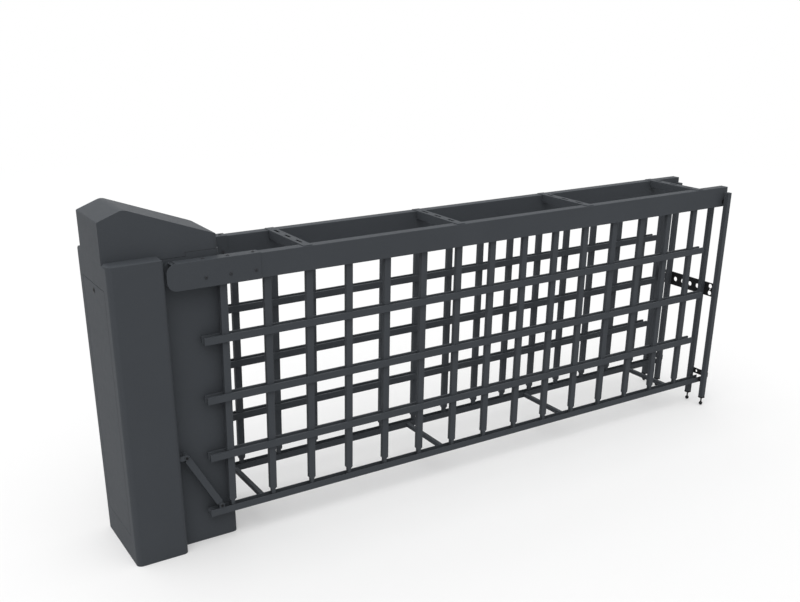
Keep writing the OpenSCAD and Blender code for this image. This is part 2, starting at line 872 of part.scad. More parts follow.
// Slotted channels across the tops of the booms
module cross_braces() {
    first = pivot_x + brace_first;
    step = (boom_x1 - brace_last - first) / (brace_n - 1);
    tab = boom_out - 5;
    span = boom_in - seat_gap;
    half = brace_w / 2;
    slot_w = 11;
    slot_l = 40;
    slot_step = span * 0.72;
    color(paint)
        for (i = [0:brace_n - 1])
            translate([first + i * step, 0, boom_top]) difference() {
                union() {
                    block([-half, -tab, 0], [half, tab, brace_t]);
                    block([-half, -span, -brace_h], [half, span, brace_t / 2]);
                }
                block([-half + brace_t, -span - over, -brace_h - over], [half - brace_t, span + over, 0]);
                for (y = [-slot_step, 0, slot_step])
                    translate([0, 0, -over]) linear_extrude(brace_t + 2 * over)
                        link_outline([0, y - slot_l / 2], [0, y + slot_l / 2], slot_w);
            }
}

module bar_hinge_pins() {
    half = boom_w / 2 - blind;
    color(bright_steel) both() panel()
        for (i = [0:bar_n - 1])
            pin_y(row_pt(i, 0), -half, half, pin_d);
}

// Pins of the end posts through the booms, with a spacer on each side
module post_hinge_pins() {
    color(bright_steel) both() panel() {
        pin_y(row_pt(bar_n, 0), -post_tip, post_tip, pin_d);
        faces() pin_y(row_pt(bar_n, 0), boom_w / 2, post_in - seat_gap, 2 * pin_d);
    }
}

// Upright bar: a box tube with a round top at its hinge and a narrow lower end
module bar_outline() {
    half = bar_w / 2;
    neck = neck_w / 2;
    tip = -bar_l - neck;
    shoulder = neck_h - bar_l;
    slope = half - neck;
    difference() {
        polygon([[-neck, tip], [neck, tip], [neck, shoulder - slope], [half, shoulder],
            [half, half], [-half, half], [-half, shoulder], [-neck, shoulder - slope]]);
        for (s = [-1, 1]) {
            corner_cut(s * half, half, -s, -1, end_round * bar_w);
            corner_cut(s * neck, tip, -s, 1, end_round * neck_w);
        }
    }
}

module bar(i) {
    inner = [bar_w / 2 - bar_wall, bar_t / 2 - bar_wall];
    color(paint) both() panel() hang(i) difference() {
        along_y(-bar_t / 2, bar_t / 2) bar_outline();
        block([-inner.x, -inner.y, neck_h - bar_l + bar_wall], [inner.x, inner.y, -bar_w / 2]);
        for (k = [0:4])
            pin_y([0, -k * row_pitch], -bar_t, bar_t, pin_d + 2 * pin_play);
    }
}

// Middle rail: a strip on each face of the bars, with blind seats for the pins
module rail(k) {
    first = row_pt(0, k);
    last = row_pt(bar_n - 1, k);
    nose = k == 2 ? mid_nose : rail_nose;
    color(paint) both() panel() faces() difference() {
        block([first.x - rail_tail, strip_in, first.y - rail_h / 2],
            [last.x + nose, strip_out, first.y + rail_h / 2]);
        for (i = [0:bar_n - 1])
            pin_y(row_pt(i, k), 0, strip_out - blind, pin_d);
    }
}

module rail_pins(k) {
    tip = strip_out - blind;
    color(bright_steel) both() panel()
        for (i = [0:bar_n - 1])
            pin_y(row_pt(i, k), -tip, tip, pin_d);
}

// Bottom rail: a channel open on top that takes the bars' narrow ends
module bottom_rail() {
    x0 = row_pt(0, 4).x - low_tail;
    x1 = row_pt(bar_n, 4).x + low_nose;
    color(paint) panel() difference() {
        block([x0, -low_out, low_z0], [x1, low_out, low_top]);
        block([x0 - over, -low_in, low_z0 + low_wall], [x1 + over, low_in, low_top + over]);
        for (i = [0:bar_n - 1])
            pin_y(row_pt(i, 4), -low_out + blind, low_out - blind, pin_d);
        pin_y(row_pt(bar_n, 4), -2 * low_out, 2 * low_out, pin_d);
    }
}

module bottom_rail_front() {
    bottom_rail();
}

module bottom_rail_rear() {
    mirror([0, 1, 0]) bottom_rail();
}

// Square tubes between the two bottom rails, beside four of the bars
module bottom_ties() {
    span = boom_y - low_out;
    tie_w = 20;
    tie_h = 20;
    tie_wall = 2;
    tie_up = 4;
    color(paint)
        for (i = [1, round(bar_n * 0.4), round(bar_n * 0.67), bar_n - 1])
            translate([row_pt(i, 4).x - tie_off, 0, low_z0 + tie_up]) difference() {
                block([-tie_w / 2, -span, 0], [tie_w / 2, span, tie_h]);
                block([-tie_w / 2 + tie_wall, -span - over, tie_wall],
                    [tie_w / 2 - tie_wall, span + over, tie_h - tie_wall]);
            }
}

// Pins of the bars and posts in the bottom rails
module bottom_pins() {
    half = low_out - blind;
    color(bright_steel) both() panel() {
        for (i = [0:bar_n - 1])
            pin_y(row_pt(i, 4), -half, half, pin_d);
        pin_y(row_pt(bar_n, 4), -post_tip, post_tip, pin_d);
        faces() pin_y(row_pt(bar_n, 4), low_out, post_in - seat_gap, 2 * pin_d);
    }
}

// Ears on the bottom rails for the drag links, each with its half of the pivot
module link_lugs() {
    half = ear_w / 2;
    corner = end_round * ear_w;
    color(paint) both() panel() faces() {
        along_y(low_in, low_out)
            round_quad(drag_r0.x - half, low_top, drag_r0.x + half, drag_r0.y + half, [0, 0, corner, corner]);
        pin_y(drag_r0, drag_t / 2 + seat_gap, low_in, drag_pin);
        pin_y(drag_r0, low_out, low_out + head_h, head_d);
    }
}

// Height in a post's own frame of a point on its axis that lies this far above the floor
function on_post(height) = (height - hinge_z) / cos(rest_lean);

// Four square posts at the free end, two beside each boom
module end_posts() {
    half = post_w / 2;
    inner = half - post_wall;
    end_t = 4;
    z0 = on_post(post_low);
    color(paint) both() panel() hang(bar_n) faces() difference() {
        block([-half, post_in, z0], [half, post_out, post_up]);
        block([-inner, post_in + post_wall, z0 + 3 * end_t], [inner, post_tip, post_up - end_t]);
        for (k = [0, 4])
            pin_y([0, -k * row_pitch], 0, post_tip + seat_gap, pin_d + 2 * pin_play);
    }
}

// Caps under the posts, with thin rods and the ball feet that meet the floor
module post_feet() {
    half = post_w / 2 + cap_lip;
    z0 = on_post(ball_d / 2);
    z1 = on_post(post_low);
    color(dark_steel) both() panel() hang(bar_n) faces() translate([0, post_off, 0]) {
        translate([0, 0, z0]) sphere(d = ball_d);
        translate([0, 0, z0]) cylinder(h = z1 - z0, d = rod_d);
        block([-half, -half, z1 - cap_h], [half, half, z1]);
    }
}

// Perforated plate across the four posts: paired holes at each panel and a single row between
module post_tie_plate() {
    half = boom_y + post_out - 4;
    corner = 6;
    hole_d = 24;
    hole_step = 53;
    hole_n = 4;
    pair_up = 19;
    small_d = 8;
    color(dark_steel) hang(bar_n) translate([0, 0, -plate_drop])
        along_x(post_w / 2, post_w / 2 + plate_t) difference() {
            round_quad(-half, -plate_h / 2, half, plate_h / 2, [corner, corner, corner, corner]);
            for (i = [0:hole_n - 1])
                translate([(i - (hole_n - 1) / 2) * hole_step, 0]) circle(d = hole_d);
            for (y = [-boom_y, boom_y]) {
                translate([y, pair_up]) circle(d = hole_d);
                translate([y, -pair_up]) circle(d = hole_d);
                translate([y, 0]) circle(d = small_d);
            }
        }
}

// Short plates between the two posts of a panel, just clear of the bottom rail's end as it folds up
module post_low_plates() {
    half = post_out - 2;
    fold_gap = 2;
    nose_r = norm([low_nose, low_top - low_z]);
    z0 = sqrt(pow(nose_r + fold_gap, 2) - pow(post_w / 2, 2)) - bar_l;
    corner = 4;
    hole_d = 14;
    hole_y = 20;
    color(dark_steel) both() panel() hang(bar_n)
        along_x(post_w / 2, post_w / 2 + plate_t) difference() {
            round_quad(-half, z0, half, z0 + low_plate_h, [corner, corner, corner, corner]);
            for (y = [-hole_y, hole_y])
                translate([y, z0 + low_plate_h / 2]) circle(d = hole_d);
        }
}

// Drag links from the cabinet to the bottom rails: a square bar with a rounded tongue at each end
module drag_links() {
    tongue_w = ear_w - 2;
    set_back = drag_w / 2;
    length = norm(drag_r0 - drag_q);
    turn = atan2(drag_r0.y - drag_q.y, drag_r0.x - drag_q.x);
    color(paint) both() panel() difference() {
        along_y(-drag_t / 2, drag_t / 2) {
            link_outline(drag_q, drag_r0, tongue_w);
            translate(drag_q) rotate(turn)
                translate([set_back, -drag_w / 2]) square([length - 2 * set_back, drag_w]);
        }
        pin_y(drag_q, -drag_t, drag_t, drag_pin + 2 * pin_play);
    }
}

base_plate();
cabinet_shell();
top_hood();
drive_stand();
shaft_bearings();
gearbox();
drive_motor();
controller_box();
stop_buffers();
spring_anchor();
balance_springs();
link_brackets();
access_door();
door_lock();
main_shaft();
shaft_flanges();
drive_lever();
lever_pins();
boom_holder_front();
boom_holder_rear();
boom_front();
boom_rear();
holder_bolts();
cross_braces();
bar_hinge_pins();
post_hinge_pins();
drive_crank();
connecting_rod();
for (i = [0:bar_n - 1])
    bar(i);
for (k = [1:3]) {
    rail(k);
    rail_pins(k);
}
bottom_rail_front();
bottom_rail_rear();
bottom_ties();
bottom_pins();
link_lugs();
end_posts();
post_feet();
post_tie_plate();
post_low_plates();
drag_links();
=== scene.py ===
"""Looks of a parking barrier gate with a folding fence: finishes, softened edges, springs and fasteners."""

import json
import math

import bmesh
import bpy
from mathutils import Matrix, Vector

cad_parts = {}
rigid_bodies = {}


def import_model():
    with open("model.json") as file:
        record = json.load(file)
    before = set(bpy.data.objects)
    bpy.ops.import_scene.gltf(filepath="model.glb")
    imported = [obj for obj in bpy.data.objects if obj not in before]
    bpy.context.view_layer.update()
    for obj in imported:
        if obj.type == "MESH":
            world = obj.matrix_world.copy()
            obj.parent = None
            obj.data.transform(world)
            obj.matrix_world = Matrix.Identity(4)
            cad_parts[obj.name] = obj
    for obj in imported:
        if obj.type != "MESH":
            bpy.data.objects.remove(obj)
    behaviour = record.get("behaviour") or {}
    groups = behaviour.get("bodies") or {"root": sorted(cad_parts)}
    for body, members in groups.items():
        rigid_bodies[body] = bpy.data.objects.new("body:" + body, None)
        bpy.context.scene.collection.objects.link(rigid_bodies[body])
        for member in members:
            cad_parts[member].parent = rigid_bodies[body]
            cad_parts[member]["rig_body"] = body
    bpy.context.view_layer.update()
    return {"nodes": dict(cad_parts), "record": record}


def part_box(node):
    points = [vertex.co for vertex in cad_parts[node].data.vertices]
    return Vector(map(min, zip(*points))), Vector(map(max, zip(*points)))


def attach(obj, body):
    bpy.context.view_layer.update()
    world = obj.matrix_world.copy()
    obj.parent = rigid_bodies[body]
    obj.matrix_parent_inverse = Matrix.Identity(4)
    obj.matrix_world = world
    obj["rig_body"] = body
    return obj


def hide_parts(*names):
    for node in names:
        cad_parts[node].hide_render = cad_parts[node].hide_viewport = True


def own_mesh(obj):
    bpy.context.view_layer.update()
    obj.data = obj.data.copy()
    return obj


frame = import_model()
scene = bpy.context.scene
nodes = frame["nodes"]
record = frame["record"]
slot_of = {part["node"]: part["material_slot"] for part in record["subparts"]}

# Camera, fitted to the photograph's 800 x 602 frame
IMAGE_W = 800
IMAGE_H = 602
FOCAL_PX = 979.7
AXIS_ROW = 365
SENSOR = 36.0
CAMERA_AT = (-1.1209, -3.6251, 2.1460)
CAMERA_YAW = 31.82
CAMERA_PITCH = -20.71
CAMERA_REACH = 200

# Light: strength from all round, and two wide lamps, each by direction, softness in degrees and strength
AMBIENT = 0.77
KEY_LAMP = ((-0.28, -0.28, 0.92), 70, 1.85)
FILL_LAMP = ((-0.3, 0.9, 0.3), 90, 0.45)

# Floor: share of plain white seen near the object, its tone as seen, and its tone as it lights the object
FLOOR_LIFT = 0.27
FLOOR_TONE = 0.76
FLOOR_BOUNCE = 0.5
FLOOR_SIZE = 80
FLOOR_AT = (1.4, 0, -0.0005)

# Distances from the floor's middle between which it fades to white
FADE_FROM = 3.0
FADE_TO = 10.0

# Colours of the finishes, as linear values, and of the places where they are rubbed
COAT = (0.054, 0.0593, 0.0665)
COAT_WORN = (0.10, 0.104, 0.112)
PRIMER = (0.016, 0.0165, 0.0175)
PRIMER_WORN = (0.05, 0.05, 0.052)
STEEL = (0.42, 0.42, 0.43)
CAST = (0.10, 0.11, 0.12)
CAST_WORN = (0.2, 0.21, 0.22)
PLASTIC = (0.48, 0.49, 0.47)
RUBBER = (0.012, 0.012, 0.013)
LACQUER = (0.016, 0.017, 0.019)
NICKEL = (0.013, 0.0135, 0.0148)
BLACKENED = (0.03, 0.0315, 0.036)
LACQUER_WORN = (0.08, 0.08, 0.083)

# Values between which most of a noise lies
NOISE_RANGE = (0.3, 0.7)

# Points of a mesh that are nearer than this are one point
MERGE = 2e-6

# Angle between neighbouring faces up to which they are one flat
FLAT = math.radians(0.2)

# Angle between faces above which their edge is sharp, and the angle over which its rounding then fades in
SHARP = math.radians(50)
BLUNT_FADE = math.radians(30)

# Most that the rounding of an edge takes of the narrower surface beside it
EDGE_SHARE = 0.35

# Rounding of edges in metres, and the nodes that get it
BARS = 15
SOFT_EDGES = [
    (0.0015, ["access_door"]),
    (0.002, ["boom_front", "boom_rear"]),
    (0.0015, ["boom_holder_front", "boom_holder_rear", "cross_braces"]),
    (0.0015, ["bottom_rail_front", "bottom_rail_rear", "bottom_ties", "end_posts"]),
    (0.001, ["post_feet", "post_tie_plate"]),
    (0.0005, ["post_low_plates"]),
    (0.0012, ["drag_links", "link_brackets", "link_lugs"]),
    (0.0006, ["door_lock"]),
    (0.0012, ["rail_1", "rail_2", "rail_3"]),
    (0.0007, ["bar_%02d" % i for i in range(1, BARS + 1)]),
    (0.002, ["drive_stand", "base_plate", "controller_box"]),
    (0.0015, ["shaft_bearings", "drive_motor", "stop_buffers", "drive_lever", "drive_crank"]),
    (0.001, ["connecting_rod", "shaft_flanges", "main_shaft", "lever_pins", "spring_anchor"]),
    (0.0008, ["post_hinge_pins", "bottom_pins", "gearbox"]),
]
COLUMN_ROUND = 0.0008

# Nodes that are shown in another finish than their own slot's
OTHER_SLOT = {"post_hinge_pins": "dark_steel", "bottom_pins": "dark_steel", "gearbox": "motor_frame"}

# Points on a ring of a turned or hexagonal piece
RING = 24

# Button-head bolt: outline of its dome and of its hexagon socket, as shares of its radius and height
DOME = ((1.0, 0.0), (1.0, 0.38), (0.96, 0.6), (0.84, 0.82), (0.66, 0.96), (0.56, 1.0))
SOCKET = ((0.5, 1.0), (0.47, 0.9), (0.47, 0.35), (0.1, 0.3))

# Hexagon nut: its sides, and its top with the bolt's end in it, as shares of its radius and height
NUT_SIDES = ((1.0, 0.0), (1.0, 0.78))
NUT_TOP = ((0.85, 0.98), (0.56, 0.98), (0.52, 0.84), (0.5, 0.84), (0.48, 1.0), (0.2, 1.0))


def add_camera():
    """Camera at the photograph's viewing angle."""
    data = bpy.data.cameras.new("camera")
    data.sensor_fit = "HORIZONTAL"
    data.sensor_width = SENSOR
    data.lens = FOCAL_PX * SENSOR / IMAGE_W
    data.shift_y = (AXIS_ROW - IMAGE_H / 2) / IMAGE_W
    data.clip_end = CAMERA_REACH
    camera = bpy.data.objects.new("camera", data)
    camera.location = CAMERA_AT
    camera.rotation_euler = (math.radians(90 + CAMERA_PITCH), 0, -math.radians(CAMERA_YAW))
    scene.collection.objects.link(camera)
    scene.camera = camera


# Node-based materials


class Shader:
    """A material whose nodes are added and linked by short calls."""

    def __init__(self, name):
        self.material = bpy.data.materials.new(name)
        self.material.use_nodes = True
        self.tree = self.material.node_tree
        self.surface = self.tree.nodes["Principled BSDF"]
        self.output = self.tree.nodes["Material Output"]

    def add(self, kind, **settings):
        node = self.tree.nodes.new(kind)
        for key, value in settings.items():
            setattr(node, key, value)
        return node

    def link(self, source, target):
        self.tree.links.new(source, target)

    def noise(self, scale, detail=3.0, roughness=0.5, stretch=None):
        """Noise over the piece's own place, with the scale in features per metre."""
        place = self.add("ShaderNodeTexCoord").outputs["Object"]
        if stretch:
            mapping = self.add("ShaderNodeMapping")
            mapping.inputs["Scale"].default_value = stretch
            self.link(place, mapping.inputs["Vector"])
            place = mapping.outputs["Vector"]
        node = self.add("ShaderNodeTexNoise")
        node.inputs["Scale"].default_value = scale
        node.inputs["Detail"].default_value = detail
        node.inputs["Roughness"].default_value = roughness
        self.link(place, node.inputs["Vector"])
        return node.outputs["Fac"]

    def ranged(self, value, low, high, to_low, to_high):
        """Map a value from one range to another, clamped."""
        node = self.add("ShaderNodeMapRange")
        for name, number in zip(("From Min", "From Max", "To Min", "To Max"), (low, high, to_low, to_high)):
            node.inputs[name].default_value = number
        self.link(value, node.inputs["Value"])
        return node.outputs["Result"]

    def spread(self, noise, to_low, to_high):
        """Map the usual range of a noise to another range."""
        return self.ranged(noise, *NOISE_RANGE, to_low, to_high)

    def times(self, a, b):
        node = self.add("ShaderNodeMath", operation="MULTIPLY")
        self.link(a, node.inputs[0])
        self.link(b, node.inputs[1])
        return node.outputs["Value"]

    def shaded(self, colour, brightness):
        """A colour multiplied by a changing brightness."""
        node = self.add("ShaderNodeVectorMath", operation="SCALE")
        node.inputs[0].default_value = colour
        self.link(brightness, node.inputs["Scale"])
        return node.outputs["Vector"]

    def mixed(self, factor, a, b_colour):
        """A changing colour, mixed with a fixed one by a factor."""
        node = self.add("ShaderNodeMix", data_type="RGBA")
        sockets = {s.identifier: s for s in node.inputs}
        self.link(factor, sockets["Factor_Float"])
        self.link(a, sockets["A_Color"])
        sockets["B_Color"].default_value = (*b_colour, 1)
        return {s.identifier: s for s in node.outputs}["Result_Color"]

    def edge_mask(self, radius):
        """1 along the edges of the piece and 0 on its flats, from how far a rounded normal leans."""
        flat_at, edge_at = 0.97, 0.80
        rounded = self.add("ShaderNodeBevel", samples=6)
        rounded.inputs["Radius"].default_value = radius
        flat = self.add("ShaderNodeNewGeometry").outputs["Normal"]
        dot = self.add("ShaderNodeVectorMath", operation="DOT_PRODUCT")
        self.link(rounded.outputs["Normal"], dot.inputs[0])
        self.link(flat, dot.inputs[1])
        return self.ranged(dot.outputs["Value"], flat_at, edge_at, 0.0, 1.0)

    def bump(self, height, strength, distance):
        node = self.add("ShaderNodeBump")
        node.inputs["Strength"].default_value = strength
        node.inputs["Distance"].default_value = distance
        self.link(height, node.inputs["Height"])
        self.link(node.outputs["Normal"], self.surface.inputs["Normal"])

    def colour(self, socket):
        self.link(socket, self.surface.inputs["Base Color"])

    def roughness(self, socket):
        self.link(socket, self.surface.inputs["Roughness"])

    def fixed(self, **values):
        """Values that are the same all over the surface."""
        for name, value in values.items():
            self.surface.inputs[name.replace("_", " ")].default_value = value


def powder_coat(name, base, worn, grain):
    """Satin powder coat: a fine grain, a cloudy tone and faint rubbing along the edges."""
    s = Shader(name)
    cloud = s.spread(s.noise(scale=4.0, detail=4.0), 0.97, 1.03)
    speck = s.spread(s.noise(scale=1100.0, detail=2.0), 0.88, 1.12)
    rubbed = s.ranged(s.noise(scale=26.0, detail=5.0, roughness=0.65), 0.45, 0.7, 0.15, 0.75)
    wear = s.times(s.edge_mask(radius=0.0016), rubbed)
    s.colour(s.mixed(wear, s.shaded(base, s.times(cloud, speck)), worn))
    s.roughness(s.spread(s.noise(scale=35.0, detail=4.0), 0.54, 0.59))
    s.bump(s.noise(scale=850.0, detail=2.0, roughness=0.6), strength=grain, distance=0.0006)
    s.fixed(Specular_IOR_Level=0.06)
    return s.material


def machined_steel(name, base, stretch):
    """Turned or ground steel with fine tool marks and a light film of oil."""
    s = Shader(name)
    marks = s.noise(scale=260.0, detail=4.0, roughness=0.6, stretch=stretch)
    stain = s.ranged(s.noise(scale=18.0, detail=4.0), 0.35, 0.7, 1.05, 0.82)
    s.colour(s.shaded(base, stain))
    s.roughness(s.spread(marks, 0.26, 0.42))
    s.bump(marks, strength=0.12, distance=0.0003)
    s.fixed(Metallic=1.0)
    return s.material


def cast_metal(name, base, worn):
    """Painted casting with a sandy skin."""
    s = Shader(name)
    tone = s.spread(s.noise(scale=12.0, detail=4.0), 0.9, 1.1)
    s.colour(s.mixed(s.edge_mask(radius=0.002), s.shaded(base, tone), worn))
    s.roughness(s.spread(s.noise(scale=60.0), 0.45, 0.6))
    s.bump(s.noise(scale=420.0, detail=4.0, roughness=0.65), strength=0.5, distance=0.0008)
    return s.material


def moulded(name, base, rough, grain):
    """Moulded plastic or rubber with a fine spark grain."""
    vary = 0.06
    s = Shader(name)
    tone = s.spread(s.noise(scale=9.0), 0.94, 1.06)
    s.colour(s.shaded(base, tone))
    s.roughness(s.spread(s.noise(scale=50.0), rough - vary, rough + vary))
    s.bump(s.noise(scale=1500.0, detail=2.0), strength=grain, distance=0.0003)
    return s.material


def lacquered(name, base, worn, rough):
    """Thin dark finish on steel, rubbed bright in spots along the edges."""
    vary = 0.07
    s = Shader(name)
    tone = s.spread(s.noise(scale=45.0, detail=4.0), 0.85, 1.15)
    spots = s.ranged(s.noise(scale=160.0, detail=4.0), 0.5, 0.7, 0.0, 0.4)
    wear = s.times(s.edge_mask(radius=0.0006), spots)
    s.colour(s.mixed(wear, s.shaded(base, tone), worn))
    s.roughness(s.spread(s.noise(scale=90.0), rough - vary, rough + vary))
    s.bump(s.noise(scale=700.0, detail=2.0), strength=0.15, distance=0.0002)
    s.fixed(Specular_IOR_Level=0.2)
    return s.material


FINISH = {
    "painted_steel": powder_coat("powder_coat_steel", COAT, COAT_WORN, grain=0.35),
    "painted_aluminium": powder_coat("powder_coat_aluminium", COAT, COAT_WORN, grain=0.25),
    "dark_steel": powder_coat("dark_primer", PRIMER, PRIMER_WORN, grain=0.3),
    "bright_steel": machined_steel("machined_steel", STEEL, stretch=(1, 6, 1)),
    "motor_frame": cast_metal("cast_paint", CAST, CAST_WORN),
    "grey_plastic": moulded("grey_plastic", PLASTIC, rough=0.48, grain=0.2),
    "buffer_rubber": moulded("buffer_rubber", RUBBER, rough=0.75, grain=0.3),
    "spring_steel": lacquered("spring_lacquer", LACQUER, LACQUER_WORN, rough=0.36),
    "lock_metal": lacquered("dark_nickel", NICKEL, LACQUER_WORN, rough=0.45),
    "bolt_steel": lacquered("blackened_bolt", BLACKENED, LACQUER_WORN, rough=0.42),
}


def dress(piece, slot):
    """Give a piece one slot's finish."""
    piece.data.materials.clear()
    piece.data.materials.append(FINISH[slot])


def settle(piece, slot, body, replaced=None):
    """Give a piece its finish and the body it moves with, and hide the node it stands for."""
    dress(piece, slot)
    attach(piece, body)
    if replaced:
        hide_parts(replaced)


# Softened edges


def smooth_groups(bm):
    """Map each face to the breadth of the smooth surface it belongs to: twice its area over its outline."""
    least_outline = 1e-6
    breadth = {}
    for seed in bm.faces:
        if seed in breadth:
            continue
        group, todo = {seed}, [seed]
        while todo:
            for edge in todo.pop().edges:
                beyond = [f for f in edge.link_faces if f not in group]
                if beyond and edge.calc_face_angle(math.pi) < SHARP:
                    group.update(beyond)
                    todo.extend(beyond)
        area = sum(f.calc_area() for f in group)
        rim = [e for f in group for e in f.edges if not all(side in group for side in e.link_faces)]
        outline = sum(e.calc_length() for e in rim)
        breadth.update({f: 2 * area / max(outline, least_outline) for f in group})
    return breadth


def join_flats(bm):
    """Join the triangles of each flat surface, keeping only the shortest cuts to its holes."""
    inner = [e for e in bm.edges if len(e.link_faces) == 2 and e.calc_face_angle() < FLAT]
    for edge in sorted(inner, key=lambda e: -e.calc_length()):
        first, second = edge.link_faces
        if len(set(first.verts) & set(second.verts)) == 2:
            bmesh.utils.face_join((first, second))


def weigh_edges(bm, width, top):
    """Weigh the outer edges below a height for rounding, less on narrow faces and blunt edges."""
    weight = bm.edges.layers.float.new("bevel_weight_edge")
    breadth = smooth_groups(bm)
    for edge in bm.edges:
        if len(edge.link_faces) != 2 or edge.calc_face_angle() <= SHARP:
            continue
        if edge.is_convex and max(v.co.z for v in edge.verts) < top:
            full = min(1.0, EDGE_SHARE * min(breadth[f] for f in edge.link_faces) / width)
            edge[weight] = full * min(1.0, (edge.calc_face_angle() - SHARP) / BLUNT_FADE)
        else:
            edge.smooth = False


def soften(node, width, slot=None, top=math.inf):
    """A copy of a node that stands for it, with its outer edges below a height rounded."""
    mesh = nodes[node].data.copy()
    for name in ("custom_normal", "sharp_face", "sharp_edge"):
        if name in mesh.attributes:
            mesh.attributes.remove(mesh.attributes[name])
    bm = bmesh.new()
    bm.from_mesh(mesh)
    bmesh.ops.remove_doubles(bm, verts=bm.verts, dist=MERGE)
    join_flats(bm)
    weigh_edges(bm, width, top)
    for face in bm.faces:
        face.smooth = True
    bm.to_mesh(mesh)
    bm.free()
    piece = bpy.data.objects.new(node + "_soft", mesh)
    scene.collection.objects.link(piece)
    bevel = piece.modifiers.new("edges", "BEVEL")
    bevel.limit_method = "WEIGHT"
    bevel.width = width
    bevel.segments = 2
    bevel.use_clamp_overlap = False
    flats = piece.modifiers.new("flats", "WEIGHTED_NORMAL")
    flats.mode = "FACE_AREA"
    flats.weight = 100
    flats.keep_sharp = True
    settle(piece, slot or slot_of[node], nodes[node]["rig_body"], node)
    return piece


def paint_seam_shade(hood):
    """Painted shade: the upright faces in the shadow gap between the hood and the column get the dark
    rubber finish.
    """
    seam_h = 0.0015
    upright = 0.5
    column_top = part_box("cabinet_shell")[1][2]
    # The dark rubber finish paints the shade that the thin gap can't cast itself
    hood.data.materials.append(FINISH["buffer_rubber"])
    for face in hood.data.polygons:
        height = face.center.z - column_top
        if 0 < height < seam_h and abs(face.normal.z) < upright:
            face.material_index = 1


# Pieces built in mesh code


def inside(box, other):
    """Whether a box lies within another one."""
    return all(other[0][i] < box[0][i] and box[1][i] < other[1][i] for i in range(3))


def islands(node):
    """The separate solids of a node, each as its lowest and highest corner, without the hollows in them."""
    bm = bmesh.new()
    bm.from_mesh(nodes[node].data)
    bmesh.ops.remove_doubles(bm, verts=bm.verts, dist=MERGE)
    boxes, seen = [], set()
    for seed in bm.verts:
        if seed in seen:
            continue
        group, todo = {seed}, [seed]
        while todo:
            fresh = {e.other_vert(v) for v in [todo.pop()] for e in v.link_edges} - group
            group |= fresh
            todo.extend(fresh)
        seen |= group
        boxes.append([Vector(pick(v.co[i] for v in group) for i in range(3)) for pick in (min, max)])
    bm.free()
    return [box for box in boxes if not any(inside(box, other) for other in boxes if other is not box)]


def circle(radius, height):
    """Ring of points at a height."""
    turns = [2 * math.pi * i / RING for i in range(RING)]
    return [Vector((radius * math.cos(a), radius * math.sin(a), height)) for a in turns]


def hexagon(radius, height):
    """Ring of points along a hexagon, whose corners lie at the radius."""
    side = math.pi / 3
    flat = radius * math.cos(side / 2)
    turns = [2 * math.pi * i / RING for i in range(RING)]
    spokes = [(a, flat / math.cos(a % side - side / 2)) for a in turns]
    return [Vector((r * math.cos(a), r * math.sin(a), height)) for a, r in spokes]


def stadium(half, width, height):
    """Ring of points along a slot with round ends, which lies along X."""
    nudge = 1e-9
    radius = width / 2
    straight = half - radius
    ring = circle(radius, height)
    return [point + Vector((math.copysign(straight, point.x + nudge), 0, 0)) for point in ring]


def loft(bm, rings, place):
    """Skin over rings of points, closed by a face at each end."""
    loops = [[bm.verts.new(place @ point) for point in ring] for ring in rings]
    count = len(rings[0])
    for low, high in zip(loops, loops[1:]):
        for i in range(count):
            j = (i + 1) % count
            bm.faces.new((low[i], low[j], high[j], high[i]))
    bm.faces.new(reversed(loops[0]))
    bm.faces.new(loops[-1])


def socket_bolt(bm, place, radius, height):
    """Button-head bolt with a hexagon socket, standing along Z."""
    rings = [circle(radius * r, height * h) for r, h in DOME]
    rings += [hexagon(radius * r, height * h) for r, h in SOCKET]
    loft(bm, rings, place)


def hex_nut(bm, place, radius, height):
    """Hexagon nut with chamfered corners and the bolt's end standing in it."""
    rings = [hexagon(radius * r, height * h) for r, h in NUT_SIDES]
    rings += [circle(radius * r, height * h) for r, h in NUT_TOP]
    loft(bm, rings, place)


def add_piece(name, bm, slot, body, replaced=None):
    """Finish a mesh as a piece that rides on a body, with smooth faces between its sharp edges."""
    crease = math.radians(35)
    bmesh.ops.recalc_face_normals(bm, faces=bm.faces)
    for face in bm.faces:
        face.smooth = True
    for edge in bm.edges:
        edge.smooth = edge.calc_face_angle(0) < crease
    mesh = bpy.data.meshes.new(name)
    bm.to_mesh(mesh)
    bm.free()
    piece = bpy.data.objects.new(name, mesh)
    scene.collection.objects.link(piece)
    settle(piece, slot, body, replaced)


def standing(point, direction):
    """Matrix that puts Z along a direction at a point."""
    return Matrix.Translation(point) @ direction.to_track_quat("Z", "Y").to_matrix().to_4x4()


def boom_middle():
    """Distance of a boom's middle plane from the middle plane of the gate."""
    low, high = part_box("boom_rear")
    return (low[1] + high[1]) / 2


def add_holder_bolts():
    """Socket bolts on the outer sides and tops of the boom holders, nuts on their inner sides."""
    bm = bmesh.new()
    middle = boom_middle()
    for low, high in islands("holder_bolts"):
        size = high - low
        axis = min(range(3), key=lambda i: size[i])
        centre = (low + high) / 2
        inner = axis == 1 and abs(centre.y) < middle
        way = Vector([0, 0, 0])
        way[axis] = 1 if axis == 2 or (centre.y > 0) != inner else -1
        seat = centre - way * size[axis] / 2
        make = hex_nut if inner else socket_bolt
        make(bm, standing(seat, way), max(size) / 2, size[axis])
    add_piece("holder_fasteners", bm, "bolt_steel", "booms", "holder_bolts")


